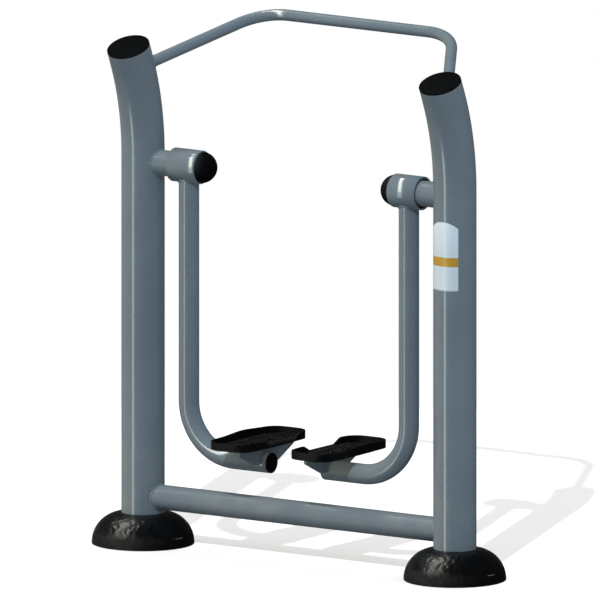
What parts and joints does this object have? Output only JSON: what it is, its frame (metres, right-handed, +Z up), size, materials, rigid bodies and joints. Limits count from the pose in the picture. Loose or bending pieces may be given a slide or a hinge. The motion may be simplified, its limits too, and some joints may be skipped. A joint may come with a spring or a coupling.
{
  "type": "outdoor air walker",
  "caption": "Free-swinging outdoor walking trainer: bent tube posts with a floor bar and a handle bar, and hanging arms with foot trays on sealed hubs.",
  "frame": {"origin": "on the ground, midway between the axes of the two posts", "axes": "+X to the right of the user, +Y the way the user faces, towards the handle bar, +Z up"},
  "size_m": [1.4, 0.5031, 1.5649],
  "materials": {
    "painted_steel": "blue-grey powder coat, satin",
    "galvanised_steel": "hot-dip galvanised",
    "machined_steel": "turned and ground",
    "zinc_steel": "zinc plated",
    "black_plastic": "smooth moulded, semi-gloss",
    "tread_plastic": "moulded with a grained tread",
    "black_rubber": "matt",
    "notice_sheet": "printed sheet, bare pale field with an ochre band"
  },
  "bodies": {
    "frame": {"crossbar": "painted_steel", "handlebar": "painted_steel", "notice_plate": "notice_sheet", "left_post": "painted_steel", "left_post_cap": "black_plastic", "left_base_flange": "galvanised_steel", "left_base_gussets": "galvanised_steel", "left_base_cover": "black_plastic", "left_pivot_stub": "painted_steel", "left_pivot_plate": "painted_steel", "left_hub_seal": "black_rubber", "left_axle": "machined_steel", "left_bearing_inner_rings": "machined_steel", "left_bearing_balls": "machined_steel", "left_bearing_spacer": "machined_steel", "left_axle_washer": "zinc_steel", "left_axle_nut": "zinc_steel", "left_stop_block": "machined_steel", "left_stop_buffers": "black_rubber", "right_post": "painted_steel", "right_post_cap": "black_plastic", "right_base_flange": "galvanised_steel", "right_base_gussets": "galvanised_steel", "right_base_cover": "black_plastic", "right_pivot_stub": "painted_steel", "right_pivot_plate": "painted_steel", "right_hub_seal": "black_rubber", "right_axle": "machined_steel", "right_bearing_inner_rings": "machined_steel", "right_bearing_balls": "machined_steel", "right_bearing_spacer": "machined_steel", "right_axle_washer": "zinc_steel", "right_axle_nut": "zinc_steel", "right_stop_block": "machined_steel", "right_stop_buffers": "black_rubber"},
    "left_arm": {"left_hub_sleeve": "painted_steel", "left_bearing_carriers": "machined_steel", "left_bearing_outer_rings": "machined_steel", "left_hub_cap": "black_plastic", "left_arm_tube": "painted_steel", "left_arm_end_cap": "black_plastic", "left_pedal_bracket": "painted_steel", "left_pedal": "tread_plastic", "left_pedal_bolts": "zinc_steel", "left_pedal_nuts": "zinc_steel", "left_stop_dog": "machined_steel"},
    "right_arm": {"right_hub_sleeve": "painted_steel", "right_bearing_carriers": "machined_steel", "right_bearing_outer_rings": "machined_steel", "right_hub_cap": "black_plastic", "right_arm_tube": "painted_steel", "right_arm_end_cap": "black_plastic", "right_pedal_bracket": "painted_steel", "right_pedal": "tread_plastic", "right_pedal_bolts": "zinc_steel", "right_pedal_nuts": "zinc_steel", "right_stop_dog": "machined_steel"}
  },
  "joints": [
    {"name": "left_arm_swing", "type": "hinge", "parent": "frame", "child": "left_arm", "pos_m": [-0.39, 0, 1.1325], "axis": [1, 0, 0], "range_deg": [-45, 45]},
    {"name": "right_arm_swing", "type": "hinge", "parent": "frame", "child": "right_arm", "pos_m": [0.39, 0, 1.1325], "axis": [1, 0, 0], "range_deg": [-45, 45]}
  ]
}
